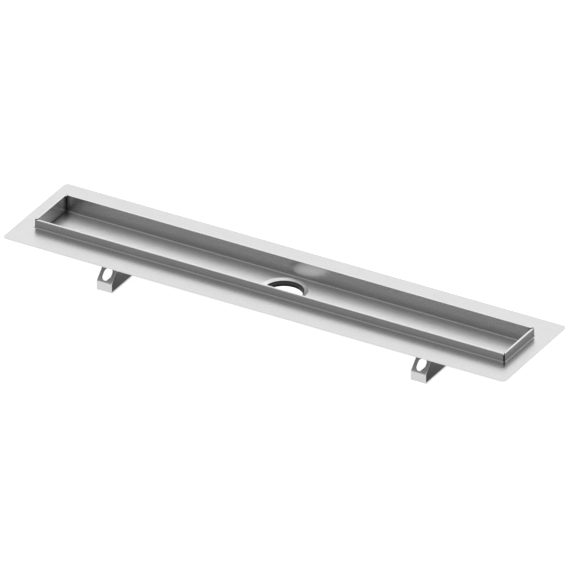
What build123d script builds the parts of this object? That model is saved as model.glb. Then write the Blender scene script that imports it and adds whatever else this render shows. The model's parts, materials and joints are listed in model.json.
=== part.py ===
from build123d import *
import math
import os

# A linear shower drain in stainless sheet: a folded channel body on two bent strip feet.
# Millimetres. X runs along the channel, Y across it, Z up. The origin is on the ground, below the outlet.

# Channel body
SHEET = 1.5              # thickness of the body sheet
RIM_LENGTH = 655.0       # length over the outer faces of the rim
RIM_WIDTH = 74.5         # width over the outer faces of the rim
RIM_HEIGHT = 11.3        # rim above the flange
RIM_EDGE = 0.5           # edge radius of the rim's top, where the fold is pressed flat
FLANGE_SIDE = 39.25      # flange beyond the rim, along the two sides
FLANGE_END = 22.5        # flange beyond the rim, at the two ends
FLANGE_CORNER = 6.0      # corner radius of the flange
TROUGH_DEPTH = 11.0      # trough floor below the flange
BODY_BEND = 1.5          # inside radius of the bends in the body
SEAM_WIDTH = 0.3         # crevice between the flange fold and the wall, where the weld closes it
MITRE_GAP = 2.4          # gap at each corner between the outer sheets of the hemmed rim
NOTCH_DEPTH = 1.5        # the same gap cuts the fold at the top of the rim through, this deep

# Outlet
OUTLET_RADIUS = 23.5     # inside of the drawn collar
DISH_WIDTH = 6.2         # the floor slopes to the collar over this width
DISH_DEPTH = 2.2
OUTLET_BEND = 2.0        # radius of the bends in the dish and the collar, on the wet side
COLLAR_DEPTH = 8.7       # lower end of the collar below the trough floor

# Strip feet
STRAP_THICKNESS = 2.0
STRAP_WIDTH = 20.0
STRAP_SPACING = 438.0    # between the middles of the two straps
STRAP_BEND = 3.0         # outside radius of the bends in the strip
LIP_HEIGHT = 14.0        # upright lip, from the ground to the bend
LEG_RISE = 23.5          # height of the 45 degree plate, from the lip to the trough
TAB_LENGTH = 15.0        # tab under the trough floor
STRAP_INSET = 1.5        # the strip bends away this far inside the edge of the flat floor
SLOT_WIDTH = 12.0
SLOT_LENGTH = 17.0       # along the slope of the plate
SLOT_MARGIN = 2.4        # from the lip's bend line to the lower end of the slot

# Levels and widths that follow from these
HEM = 2 * SHEET                              # the rim is the sheet folded double
FLOOR_UNDER = LIP_HEIGHT + LEG_RISE          # the tabs carry the floor here
FLOOR = FLOOR_UNDER + SHEET
FLANGE_TOP = FLOOR + TROUGH_DEPTH
FLANGE_UNDER = FLANGE_TOP - SHEET
RIM_TOP = FLANGE_TOP + RIM_HEIGHT
FLANGE_REACH = max(FLANGE_SIDE, FLANGE_END)
FLANGE_LENGTH = RIM_LENGTH + 2 * FLANGE_END
FLANGE_WIDTH = RIM_WIDTH + 2 * FLANGE_SIDE
FLAT_FLOOR_HALF = RIM_WIDTH / 2 - HEM - BODY_BEND    # half width of the floor between its bends


def folded_section():
    """Section of one side of the body: U is the distance out from the rim's outer face, Z the height."""
    outer_bend = BODY_BEND + SHEET
    floor_end = -HEM - BODY_BEND
    fold_level = FLANGE_TOP + BODY_BEND
    fold_drop = math.sqrt(outer_bend**2 - (outer_bend - SEAM_WIDTH) ** 2)
    seam_level = fold_level - fold_drop
    fold_middle = outer_bend * math.sin(math.radians(45))
    with BuildSketch(Plane.XZ) as section:
        with BuildLine():
            # Wet side: floor, wall, hem, rim, flange
            Line((floor_end, FLOOR_UNDER), (floor_end, FLOOR))
            RadiusArc((floor_end, FLOOR), (-HEM, FLOOR + BODY_BEND), -BODY_BEND)
            Line((-HEM, FLOOR + BODY_BEND), (-HEM, RIM_TOP - RIM_EDGE))
            RadiusArc((-HEM, RIM_TOP - RIM_EDGE), (RIM_EDGE - HEM, RIM_TOP), RIM_EDGE)
            Line((RIM_EDGE - HEM, RIM_TOP), (-RIM_EDGE, RIM_TOP))
            RadiusArc((-RIM_EDGE, RIM_TOP), (0, RIM_TOP - RIM_EDGE), RIM_EDGE)
            Line((0, RIM_TOP - RIM_EDGE), (0, fold_level))
            RadiusArc((0, fold_level), (BODY_BEND, FLANGE_TOP), -BODY_BEND)
            Line((BODY_BEND, FLANGE_TOP), (FLANGE_REACH, FLANGE_TOP))
            # Dry side, back to the floor
            Line((FLANGE_REACH, FLANGE_TOP), (FLANGE_REACH, FLANGE_UNDER))
            Line((FLANGE_REACH, FLANGE_UNDER), (BODY_BEND, FLANGE_UNDER))
            ThreePointArc(
                (BODY_BEND, FLANGE_UNDER),
                (BODY_BEND - fold_middle, fold_level - fold_middle),
                (SEAM_WIDTH - SHEET, seam_level),
            )
            Line((SEAM_WIDTH - SHEET, seam_level), (-SHEET, seam_level))
            Line((-SHEET, seam_level), (-SHEET, FLOOR + BODY_BEND))
            RadiusArc((-SHEET, FLOOR + BODY_BEND), (floor_end, FLOOR_UNDER), outer_bend)
        make_face()
    return section.sketch


def mitred_run(section, rim_length, rim_offset):
    """One side of the body along X, mitred at both ends where the next sides join it."""
    long_run = rim_length + 4 * FLANGE_REACH
    run = extrude(Rot(0, 0, -90) * section, amount=long_run / 2, dir=(1, 0, 0), both=True)
    run = Pos(0, -rim_offset, 0) * run
    for end in (1, -1):
        mitre = Plane((end * rim_length / 2, -rim_offset, 0), x_dir=(0, 0, 1), z_dir=(end, 1, 0))
        run = split(run, bisect_by=mitre, keep=Keep.BOTTOM)
    return run


def outlet_collar(land_radius):
    """The floor round the outlet, dished and drawn down into a short collar, from the land's radius in."""
    wet_line = [
        (land_radius, FLOOR),
        (OUTLET_RADIUS + DISH_WIDTH, FLOOR),
        (OUTLET_RADIUS, FLOOR - DISH_DEPTH),
        (OUTLET_RADIUS, FLOOR - COLLAR_DEPTH),
    ]
    with BuildSketch(Plane.XZ) as profile:
        with BuildLine():
            wet_side = FilletPolyline(*wet_line, radius=OUTLET_BEND)
            offset(wet_side, amount=SHEET, side=Side.LEFT, closed=True)
        make_face()
    return revolve(profile.sketch, Axis.Z)


def channel_body():
    section = folded_section()
    front = mitred_run(section, RIM_LENGTH, RIM_WIDTH / 2)
    right = Rot(0, 0, 90) * mitred_run(section, RIM_WIDTH, RIM_LENGTH / 2)
    inset = 2 * (HEM + BODY_BEND)
    upward = (Align.CENTER, Align.CENTER, Align.MIN)
    floor = Pos(0, 0, FLOOR_UNDER) * Box(RIM_LENGTH - inset, RIM_WIDTH - inset, SHEET, align=upward)
    body = floor + front + right + Rot(0, 0, 180) * front + Rot(0, 0, 180) * right

    outline = Plane.XY * RectangleRounded(FLANGE_LENGTH, FLANGE_WIDTH, FLANGE_CORNER)
    body = body & extrude(outline, amount=RIM_TOP)

    land_radius = OUTLET_RADIUS + DISH_WIDTH + SHEET
    hole = Pos(0, 0, FLOOR_UNDER) * Cylinder(land_radius, SHEET, align=upward)
    body = body - hole + outlet_collar(land_radius)

    # Below the fold the gaps start at the inner sheet, so the trough stays closed at its corners
    from_corner = (Align.MIN, Align.CENTER, Align.MIN)
    gap = Box(2 * (HEM + BODY_BEND), MITRE_GAP, RIM_HEIGHT, align=from_corner)
    notch = Box(4 * HEM, MITRE_GAP, NOTCH_DEPTH, align=from_corner)
    gap = gap + Pos(-2 * HEM, 0, RIM_HEIGHT - NOTCH_DEPTH) * notch
    corner_x = RIM_LENGTH / 2 - SHEET
    corner_y = RIM_WIDTH / 2 - SHEET
    for x_side in (1, -1):
        for y_side in (1, -1):
            outward = math.degrees(math.atan2(y_side, x_side))
            body = body - Pos(x_side * corner_x, y_side * corner_y, FLANGE_TOP) * Rot(0, 0, outward) * gap
    return body


def foot_strap():
    """A strip bent into a base, two lips, two sloping plates and two tabs, with a slot in each plate."""
    knee = FLAT_FLOOR_HALF - STRAP_INSET + STRAP_BEND * math.tan(math.radians(45 / 2))
    lip = knee + LEG_RISE
    tab_end = knee - TAB_LENGTH
    half = [(tab_end, FLOOR_UNDER), (knee, FLOOR_UNDER), (lip, LIP_HEIGHT), (lip, 0)]
    outer_line = half + [(-y, z) for y, z in reversed(half)]
    with BuildPart() as strap:
        with BuildSketch(Plane.YZ):
            with BuildLine():
                bends = FilletPolyline(*outer_line, radius=STRAP_BEND)
                offset(bends, amount=STRAP_THICKNESS, side=Side.RIGHT, closed=True)
            make_face()
        extrude(amount=STRAP_WIDTH / 2, both=True)
        slot_middle = (SLOT_MARGIN + SLOT_LENGTH / 2) * math.sin(math.radians(45))
        for side in (1, -1):
            slope = Plane(
                (0, side * (lip - slot_middle), LIP_HEIGHT + slot_middle),
                x_dir=(0, -side, 1),
                z_dir=(0, side, 1),
            )
            with BuildSketch(slope):
                SlotOverall(SLOT_LENGTH, SLOT_WIDTH)
            extrude(amount=-2 * STRAP_THICKNESS, mode=Mode.SUBTRACT)
    return strap.part


os.makedirs("parts", exist_ok=True)
export_step(channel_body(), "parts/channel_body.step")
for name, place in (("foot_strap_left", -STRAP_SPACING / 2), ("foot_strap_right", STRAP_SPACING / 2)):
    export_step(Pos(place, 0, 0) * foot_strap(), f"parts/{name}.step")
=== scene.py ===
import json
import math

import bpy
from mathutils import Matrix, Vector


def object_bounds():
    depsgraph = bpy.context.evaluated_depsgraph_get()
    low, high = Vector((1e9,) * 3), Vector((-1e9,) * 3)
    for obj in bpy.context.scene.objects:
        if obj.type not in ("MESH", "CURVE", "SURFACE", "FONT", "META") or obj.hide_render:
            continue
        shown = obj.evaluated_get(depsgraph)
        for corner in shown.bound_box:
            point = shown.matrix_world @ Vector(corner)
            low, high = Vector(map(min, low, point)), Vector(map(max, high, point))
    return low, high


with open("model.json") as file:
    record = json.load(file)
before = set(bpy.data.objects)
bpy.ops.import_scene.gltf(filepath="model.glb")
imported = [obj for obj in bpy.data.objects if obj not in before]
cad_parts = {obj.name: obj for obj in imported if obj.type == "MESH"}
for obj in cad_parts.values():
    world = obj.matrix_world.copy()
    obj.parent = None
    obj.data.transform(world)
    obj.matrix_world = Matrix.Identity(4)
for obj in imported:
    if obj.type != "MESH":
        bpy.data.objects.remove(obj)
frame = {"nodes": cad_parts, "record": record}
cad_low, cad_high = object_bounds()
mounts = {mount["name"]: mount for mount in frame["record"]["mounts"]}

# Looks of the linear shower drain. Metres. X runs along the channel, Y across it, Z up.

# Camera: the photograph is close to a parallel view, so the lens is very long
VIEW_AZIMUTH = math.radians(30.0)
VIEW_ELEVATION = math.radians(29.8)
VIEW_DISTANCE = 32.0
VIEW_LIMIT = 160.0           # nothing is shown beyond this
VIEW_WIDTH = 0.6885          # width of the picture at the drain
AIM_RIGHT = 0.00150          # picture's middle from the middle of the flange
AIM_UP = -0.00410
SENSOR_WIDTH = 36.0          # millimetres

# Light: a bright side of the sky behind the drain, dim elsewhere
KEY_AZIMUTH = math.radians(120.0)    # from +X
KEY_SKY = 1.03
DIM_SKY = 0.36
KEY_INSIDE = 0.92            # cosine of the azimuth from the key, where the sky is at its brightest
KEY_OUTSIDE = 0.7            # and where it is dim
BAND = 0.38                  # the bright side is brighter by this halfway up
BAND_RISE = (0.53, 0.63)     # sines of the elevations
BAND_FALL = (0.76, 0.88)
FLOOR_SIZE = 8.0
FLOOR_SEEN = 0.87            # glow of the floor in the picture
FLOOR_MIRRORED = 0.65        # and in the metal
FLOOR_ALBEDO = 0.8

# Sizes of the drain
SHEET = 0.0015
HEM = 2 * SHEET              # the rim is the sheet folded double
BEND = 0.0015                # inside radius of the bends
FLANGE_TOP = mounts["flange_top"]["pos_m"][2]
FLANGE_SIDE = 0.03925        # flange beyond the rim, along the two sides
FLANGE_END = 0.0225          # flange beyond the rim, at the two ends
RIM_TOP = cad_high.z
RIM_ROUNDING = 0.0005        # edge radius of the rim's top
RIM_HALF_LENGTH = cad_high.x - FLANGE_END
RIM_HALF_WIDTH = cad_high.y - FLANGE_SIDE
NOTCH_DEPTH = 0.0015         # at the top the mitre gaps cut the whole rim through, this deep
TROUGH_DEPTH = 0.011
TROUGH_FLOOR = FLANGE_TOP - TROUGH_DEPTH
TROUGH_HALF_LENGTH = RIM_HALF_LENGTH - HEM
TROUGH_HALF_WIDTH = RIM_HALF_WIDTH - HEM
COLLAR_RADIUS = mounts["outlet_collar"]["dims"]["r_mm"] / 1000

# Places that the steel's finish and its painted light and shade follow
SLACK = 0.0002               # so that faces at a limit fall on the right side of it
EDGE_SLACK = 0.0001
RIM_EDGE = RIM_TOP - RIM_ROUNDING
FOOT_SHADE_REACH = 0.014           # painted shade darkens the long inner walls toward the floor from this height
OUTER_FOOT_SHADE_REACH = 0.0070    # and painted shade darkens the outer walls from this height toward the flange
END_SHADE_REACH = (0.002, 0.016)   # the floor has painted shade this near to the end walls, and none further off
DISH_OUTSIDE = 0.0300        # the dish round the outlet is inside this radius
BORE_OUTSIDE = COLLAR_RADIUS - EDGE_SLACK    # and the bore inside this one
BORE_DROP = 0.0017           # the bore's painted shade starts this far below the floor
BORE_LENGTH = 0.0058         # and is at its darkest this far further down
BORE_TOP = TROUGH_FLOOR - BORE_DROP
BORE_END = BORE_TOP - BORE_LENGTH
SEAM_SHADE_REACH = (0.0006, 0.006)    # the trough has painted shade this near to its seams, and none further off
FLOOR_SEAM = 1.8             # the seam on the floor is narrower by this
GAP_CORNER_X = RIM_HALF_LENGTH - SHEET    # corner of the inner sheet, where the mitre gaps start
GAP_CORNER_Y = RIM_HALF_WIDTH - SHEET
GAP_HALF = 0.00125           # half the width of the gaps, and a little more
GAP_SHADE = (0.0002, 0.0030)  # X and Y past the corner together, where the painted shade in the gaps is full and where it ends
NOTCH_FLOOR = RIM_TOP - NOTCH_DEPTH - EDGE_SLACK
NOTCH_REACH = 0.007          # by the same sum, the notches start this much further in
LOOP_MIDDLE = 0.020          # height of the middle of the strip's loop
LOOP_SLACK = 0.001           # faces that look to the middle from further off are inside the loop
LIP_TOP = (0.013, 0.017)     # the strip's edges are bright below this, with painted shade and a rougher finish above it

# Parts of the normal, where a face starts to look that way and where it does in full
FACING_DOWN = (-0.3, -0.6)
FACING_UP = (0.3, 0.7)
FACING_END = (0.5, 0.9)

# Finishes: tone and roughness of the steel. Apart from the plain BRUSHED and STRIP tones, the tones are
# painted light or painted shade
BRUSHED = (0.68, 0.27)
# painted light: the outer walls are a lighter copy of the brushed steel
OUTER_WALL_LIT = (0.72, 0.27)
# painted shade at the foot of the outer walls, where they meet the flange
OUTER_FOOT_SHADE = (0.58, 0.27)
# painted highlight: a lighter tone on the rounded top of the rim
RIM_LIT = (0.74, 0.27)
# painted shade: the inner walls are a darker copy of the steel
INNER_WALL_SHADE = (0.55, 0.27)
# painted shade at the foot of the inner walls
INNER_FOOT_SHADE = (0.36, 0.27)
# painted light: the end walls are a lighter copy of the steel
END_WALL_LIT = (0.78, 0.27)
# painted light in the tone of the trough floor; its higher roughness is the floor's own
TROUGH_LIT = (0.96, 0.44)
# painted shade on the floor near the end walls
TROUGH_END_SHADE = (0.60, 0.36)
# painted light: the dish round the outlet is a brighter copy of the steel
DISH_LIT = (0.92, 0.30)
# painted shade on faces that look down, with a rougher finish
UNDERSIDE_SHADE = (0.22, 0.55)
# painted shade in the bore, darkest deep down
BORE_SHADE = (0.12, 0.50)
BORE_DEEP_SHADE = (0.02, 0.50)
# painted shade in the mitre gaps of the rim
CREVICE_SHADE = (0.12, 0.60)
# dark joints at the seams, with painted shade spread into the corners
SEAM_SHADE = (0.15, 0.50)
STRIP = (0.80, 0.32)
# painted shade inside the strip's loop and on its cut edges above the lips
STRIP_INSIDE_SHADE = (0.27, 0.45)
STRIP_EDGE_SHADE = (0.30, 0.45)

# Grain of the steel
GRAIN_SCALE = (12.0, 1500.0, 1500.0)    # long along the channel, fine across it
GRAIN_DETAIL = 3.0
GRAIN_BUMP = 0.05
GRAIN_HEIGHT = 0.0001
CLOUD_SCALE = 40.0
CLOUD_DETAIL = 2.0
NOISE_RANGE = (0.3, 0.7)     # most of the noise lies in this
STREAKS = (0.9, 1.1)         # the grain multiplies the roughness by this
PATCHES = (0.985, 1.015)     # and the clouds multiply the tone by this


class Nodes:
    """Adds shader nodes to one tree and links them. Inputs are plain values or other nodes' sockets."""

    def __init__(self, tree):
        self.tree = tree
        tree.nodes.clear()

    def add(self, kind, inputs=None, **settings):
        node = self.tree.nodes.new(kind)
        for name, value in settings.items():
            setattr(node, name, value)
        for key, value in (inputs or {}).items():
            if isinstance(value, bpy.types.NodeSocket):
                self.tree.links.new(value, node.inputs[key])
            else:
                node.inputs[key].default_value = value
        return node

    def math(self, operation, first, second=0.0, clamp=False):
        node = self.add("ShaderNodeMath", {0: first, 1: second}, operation=operation, use_clamp=clamp)
        return node.outputs[0]

    def map_range(self, value, from_low, from_high, to_low=0.0, to_high=1.0, smooth=False):
        kind = "SMOOTHSTEP" if smooth else "LINEAR"
        node = self.add("ShaderNodeMapRange", {0: value, 1: from_low, 2: from_high, 3: to_low, 4: to_high},
                        interpolation_type=kind)
        return node.outputs[0]

    def blend(self, share, plain, other):
        return self.map_range(share, 0.0, 1.0, plain, other)

    def all(self, first, *others):
        for other in others:
            first = self.math("MULTIPLY", first, other)
        return first

    def split(self, vector):
        return self.add("ShaderNodeSeparateXYZ", {0: vector}).outputs

    def length(self, x, y):
        flat = self.add("ShaderNodeCombineXYZ", {0: x, 1: y})
        return self.add("ShaderNodeVectorMath", {0: flat.outputs[0]}, operation="LENGTH").outputs["Value"]


def new_material(name):
    material = bpy.data.materials.new(name)
    material.use_nodes = True
    return material, Nodes(material.node_tree)


def finish_steel(nodes, place, plain, finishes):
    """Stainless steel with a fine grain along the channel: a plain finish, and shares of others over it,
    painted light and shade among them.
    """
    tone, roughness = plain
    for share, finish in finishes:
        tone = nodes.blend(share, tone, finish[0])
        roughness = nodes.blend(share, roughness, finish[1])
    grain_place = nodes.add("ShaderNodeMapping", {"Vector": place, "Scale": GRAIN_SCALE})
    grain = nodes.add("ShaderNodeTexNoise", {
        "Vector": grain_place.outputs[0],
        "Scale": 1.0,
        "Detail": GRAIN_DETAIL,
    })
    cloud = nodes.add("ShaderNodeTexNoise", {
        "Vector": place,
        "Scale": CLOUD_SCALE,
        "Detail": CLOUD_DETAIL,
    })
    streak = nodes.map_range(grain.outputs[0], *NOISE_RANGE, *STREAKS)
    patch = nodes.map_range(cloud.outputs[0], *NOISE_RANGE, *PATCHES)
    shade = nodes.math("MULTIPLY", tone, patch)
    colour = nodes.add("ShaderNodeCombineColor", {0: shade, 1: shade, 2: shade})
    bump = nodes.add("ShaderNodeBump", {
        "Height": grain.outputs[0],
        "Strength": GRAIN_BUMP,
        "Distance": GRAIN_HEIGHT,
    })
    shader = nodes.add("ShaderNodeBsdfPrincipled", {
        "Base Color": colour.outputs[0],
        "Metallic": 1.0,
        "Roughness": nodes.math("MULTIPLY", roughness, streak),
        "Normal": bump.outputs[0],
    })
    nodes.add("ShaderNodeOutputMaterial", {"Surface": shader.outputs[0]})


def seam_shade_share(nodes, wall_x, wall_y, above):
    """Dark joints where the end walls of the trough join its floor and its long walls, with painted shade
    spread into the corners.
    """
    floor_seam = nodes.math("MULTIPLY", nodes.length(wall_x, above), FLOOR_SEAM)
    seam = nodes.math("MINIMUM", floor_seam, nodes.length(wall_x, wall_y))
    return nodes.all(nodes.math("GREATER_THAN", above, -SLACK),
                     nodes.map_range(seam, *SEAM_SHADE_REACH, 1.0, 0.0))


def gap_shade_share(nodes, far_x, far_y, z, upward):
    """Painted shade in the mitre gaps at the corners of the rim, apart from faces that look up."""
    past_x = nodes.math("SUBTRACT", far_x, GAP_CORNER_X)
    past_y = nodes.math("SUBTRACT", far_y, GAP_CORNER_Y)
    aside = nodes.math("ABSOLUTE", nodes.math("SUBTRACT", past_x, past_y))
    outward = nodes.math("ADD", past_x, past_y)
    reach = nodes.math("MULTIPLY", nodes.math("GREATER_THAN", z, NOTCH_FLOOR), NOTCH_REACH)
    return nodes.all(
        nodes.math("LESS_THAN", aside, GAP_HALF * math.sqrt(2)),
        nodes.math("GREATER_THAN", nodes.math("ADD", outward, reach), -SLACK),
        nodes.math("GREATER_THAN", z, FLANGE_TOP + SLACK),
        nodes.map_range(outward, *GAP_SHADE, 1.0, 0.0),
        nodes.map_range(upward, *FACING_UP, 1.0, 0.0),
    )


def body_steel():
    """Brushed sheet: rougher trough floor; painted light on the outer and end walls, rim top, trough floor
    and dish; painted shade on the inner walls, wall feet, floor ends, bore, seams, gaps, and the rougher
    underside.
    """
    material, nodes = new_material("body_steel")
    place = nodes.add("ShaderNodeTexCoord").outputs["Object"]
    x, y, z = nodes.split(place)
    upward = nodes.split(nodes.add("ShaderNodeNewGeometry").outputs["Normal"])["Z"]
    far_x = nodes.math("ABSOLUTE", x)
    far_y = nodes.math("ABSOLUTE", y)
    above = nodes.math("SUBTRACT", z, TROUGH_FLOOR)
    radius = nodes.length(x, y)
    wall_x = nodes.math("SUBTRACT", TROUGH_HALF_LENGTH, far_x)
    wall_y = nodes.math("SUBTRACT", TROUGH_HALF_WIDTH, far_y)

    # Rim
    # painted light on the outer walls
    on_wall = nodes.math("GREATER_THAN", z, FLANGE_TOP + BEND)
    # painted shade at the foot of the outer walls
    outer_foot_shade = nodes.all(on_wall, nodes.map_range(z, FLANGE_TOP + BEND, FLANGE_TOP + OUTER_FOOT_SHADE_REACH,
                                                    1.0, 0.0, smooth=True))
    # painted highlight on the rounded top of the rim
    on_rim = nodes.math("GREATER_THAN", z, RIM_EDGE)

    # Trough
    # inside the trough, whose walls carry painted shade
    inside = nodes.all(nodes.math("GREATER_THAN", wall_x, -SLACK),
                       nodes.math("GREATER_THAN", wall_y, -SLACK))
    # painted shade at the foot of the inner walls
    inner_foot_shade = nodes.all(inside, nodes.map_range(above, BEND, FOOT_SHADE_REACH, 1.0, 0.0, smooth=True))
    # painted light on the end walls
    lit_end_wall = nodes.all(inside, nodes.math("LESS_THAN", wall_x, SLACK))
    # painted light on the trough floor
    on_floor = nodes.all(inside, nodes.map_range(above, 0.0, BEND, 1.0, 0.0))
    # painted shade on the floor near the end walls
    floor_end_shade = nodes.all(on_floor, nodes.map_range(wall_x, *END_SHADE_REACH, 1.0, 0.0, smooth=True))
    # dark seams with painted shade round them
    seam_shade = nodes.all(inside, seam_shade_share(nodes, wall_x, wall_y, above))

    # Outlet
    # painted light on the dish
    in_dish = nodes.all(inside, nodes.math("LESS_THAN", radius, DISH_OUTSIDE))
    # painted shade in the bore, deepening downward
    in_bore = nodes.all(nodes.math("LESS_THAN", radius, BORE_OUTSIDE),
                        nodes.math("LESS_THAN", z, BORE_TOP))
    deep_bore_shade = nodes.all(in_bore, nodes.map_range(z, BORE_TOP, BORE_END))

    finish_steel(nodes, place, BRUSHED, (
        (on_wall, OUTER_WALL_LIT),
        (outer_foot_shade, OUTER_FOOT_SHADE),
        (inside, INNER_WALL_SHADE),
        (inner_foot_shade, INNER_FOOT_SHADE),
        (lit_end_wall, END_WALL_LIT),
        (on_rim, RIM_LIT),
        (on_floor, TROUGH_LIT),
        (floor_end_shade, TROUGH_END_SHADE),
        (in_dish, DISH_LIT),
        (in_bore, BORE_SHADE),
        (deep_bore_shade, BORE_DEEP_SHADE),
        (seam_shade, SEAM_SHADE),
        (gap_shade_share(nodes, far_x, far_y, z, upward), CREVICE_SHADE),
        # painted shade on faces that look down
        (nodes.map_range(upward, *FACING_DOWN), UNDERSIDE_SHADE),
    ))
    return material


def strip_steel():
    """Brighter than the body, with painted shade and a rougher finish inside the loop and on the cut edges
    above the lips.
    """
    material, nodes = new_material("strip_steel")
    place = nodes.add("ShaderNodeTexCoord").outputs["Object"]
    at = nodes.split(place)
    normal = nodes.split(nodes.add("ShaderNodeNewGeometry").outputs["Normal"])
    sideways = nodes.math("MULTIPLY", at["Y"], normal["Y"])
    upright = nodes.math("MULTIPLY", nodes.math("SUBTRACT", at["Z"], LOOP_MIDDLE), normal["Z"])
    # faces inside the loop carry painted shade
    inward = nodes.math("LESS_THAN", nodes.math("ADD", sideways, upright), -LOOP_SLACK)
    # painted shade on the cut edges above the lips
    edge_shade = nodes.all(nodes.map_range(nodes.math("ABSOLUTE", normal["X"]), *FACING_END),
                        nodes.map_range(at["Z"], *LIP_TOP))
    finish_steel(nodes, place, STRIP, ((inward, STRIP_INSIDE_SHADE), (edge_shade, STRIP_EDGE_SHADE)))
    return material


def dress(node_name, material):
    mesh = frame["nodes"][node_name].data
    mesh.materials.clear()
    mesh.materials.append(material)


def make_floor():
    """A plain floor that looks white from above, and is clear from below."""
    half = FLOOR_SIZE / 2
    corners = [(-half, -half, 0), (half, -half, 0), (half, half, 0), (-half, half, 0)]
    mesh = bpy.data.meshes.new("floor")
    mesh.from_pydata(corners, [], [(0, 1, 2, 3)])
    floor = bpy.data.objects.new("floor", mesh)
    bpy.context.scene.collection.objects.link(floor)

    material, nodes = new_material("floor")
    plain = nodes.add("ShaderNodeBsdfDiffuse", {"Color": (FLOOR_ALBEDO, FLOOR_ALBEDO, FLOOR_ALBEDO, 1)})
    path = nodes.add("ShaderNodeLightPath").outputs
    mirrored = nodes.math("ADD", path["Is Glossy Ray"], path["Is Transmission Ray"], clamp=True)
    strength = nodes.math("ADD", nodes.math("MULTIPLY", path["Is Camera Ray"], FLOOR_SEEN),
                          nodes.math("MULTIPLY", mirrored, FLOOR_MIRRORED))
    glow = nodes.add("ShaderNodeEmission", {"Strength": strength})
    top = nodes.add("ShaderNodeAddShader", {0: plain.outputs[0], 1: glow.outputs[0]})
    clear = nodes.add("ShaderNodeBsdfTransparent")
    below = nodes.add("ShaderNodeNewGeometry").outputs["Backfacing"]
    both = nodes.add("ShaderNodeMixShader", {0: below, 1: top.outputs[0], 2: clear.outputs[0]})
    nodes.add("ShaderNodeOutputMaterial", {"Surface": both.outputs[0]})
    mesh.materials.append(material)


def make_sky():
    """A sky with one bright side lights the drain. The camera sees it white."""
    world = bpy.data.worlds.new("sky")
    world.use_nodes = True
    bpy.context.scene.world = world
    nodes = Nodes(world.node_tree)
    x, y, z = nodes.split(nodes.add("ShaderNodeTexCoord").outputs["Generated"])
    to_key = nodes.math("ADD", nodes.math("MULTIPLY", x, math.cos(KEY_AZIMUTH)),
                        nodes.math("MULTIPLY", y, math.sin(KEY_AZIMUTH)))
    turn = nodes.math("DIVIDE", to_key, nodes.length(x, y))
    rise = nodes.map_range(z, *BAND_RISE, 0.0, BAND, smooth=True)
    fall = nodes.map_range(z, *BAND_FALL, 0.0, BAND, smooth=True)
    bright = nodes.math("ADD", KEY_SKY, nodes.math("SUBTRACT", rise, fall))
    near_key = nodes.map_range(turn, KEY_OUTSIDE, KEY_INSIDE, smooth=True)
    level = nodes.blend(near_key, DIM_SKY, bright)
    sky = nodes.add("ShaderNodeBackground", {"Color": (1, 1, 1, 1), "Strength": level})
    white = nodes.add("ShaderNodeBackground", {"Color": (1, 1, 1, 1), "Strength": 1.0})
    camera_ray = nodes.add("ShaderNodeLightPath").outputs["Is Camera Ray"]
    shown = nodes.add("ShaderNodeMixShader", {0: camera_ray, 1: sky.outputs[0], 2: white.outputs[0]})
    nodes.add("ShaderNodeOutputWorld", {"Surface": shown.outputs[0]})


def make_camera():
    data = bpy.data.cameras.new("camera")
    data.sensor_width = SENSOR_WIDTH
    data.lens = SENSOR_WIDTH * VIEW_DISTANCE / VIEW_WIDTH
    data.clip_end = VIEW_LIMIT
    camera = bpy.data.objects.new("camera", data)
    bpy.context.scene.collection.objects.link(camera)
    back = Vector((
        math.sin(VIEW_AZIMUTH) * math.cos(VIEW_ELEVATION),
        -math.cos(VIEW_AZIMUTH) * math.cos(VIEW_ELEVATION),
        math.sin(VIEW_ELEVATION),
    ))
    right = Vector((math.cos(VIEW_AZIMUTH), math.sin(VIEW_AZIMUTH), 0))
    up = back.cross(right)
    aim = Vector((0, 0, FLANGE_TOP)) + right * AIM_RIGHT + up * AIM_UP
    camera.location = aim + back * VIEW_DISTANCE
    camera.rotation_mode = "QUATERNION"
    camera.rotation_quaternion = (-back).to_track_quat("-Z", "Y")
    bpy.context.scene.camera = camera


dress("channel_body", body_steel())
strip = strip_steel()
for side in ("left", "right"):
    dress(f"foot_strap_{side}", strip)

make_floor()
make_sky()
make_camera()
bpy.context.scene.view_settings.view_transform = "Standard"
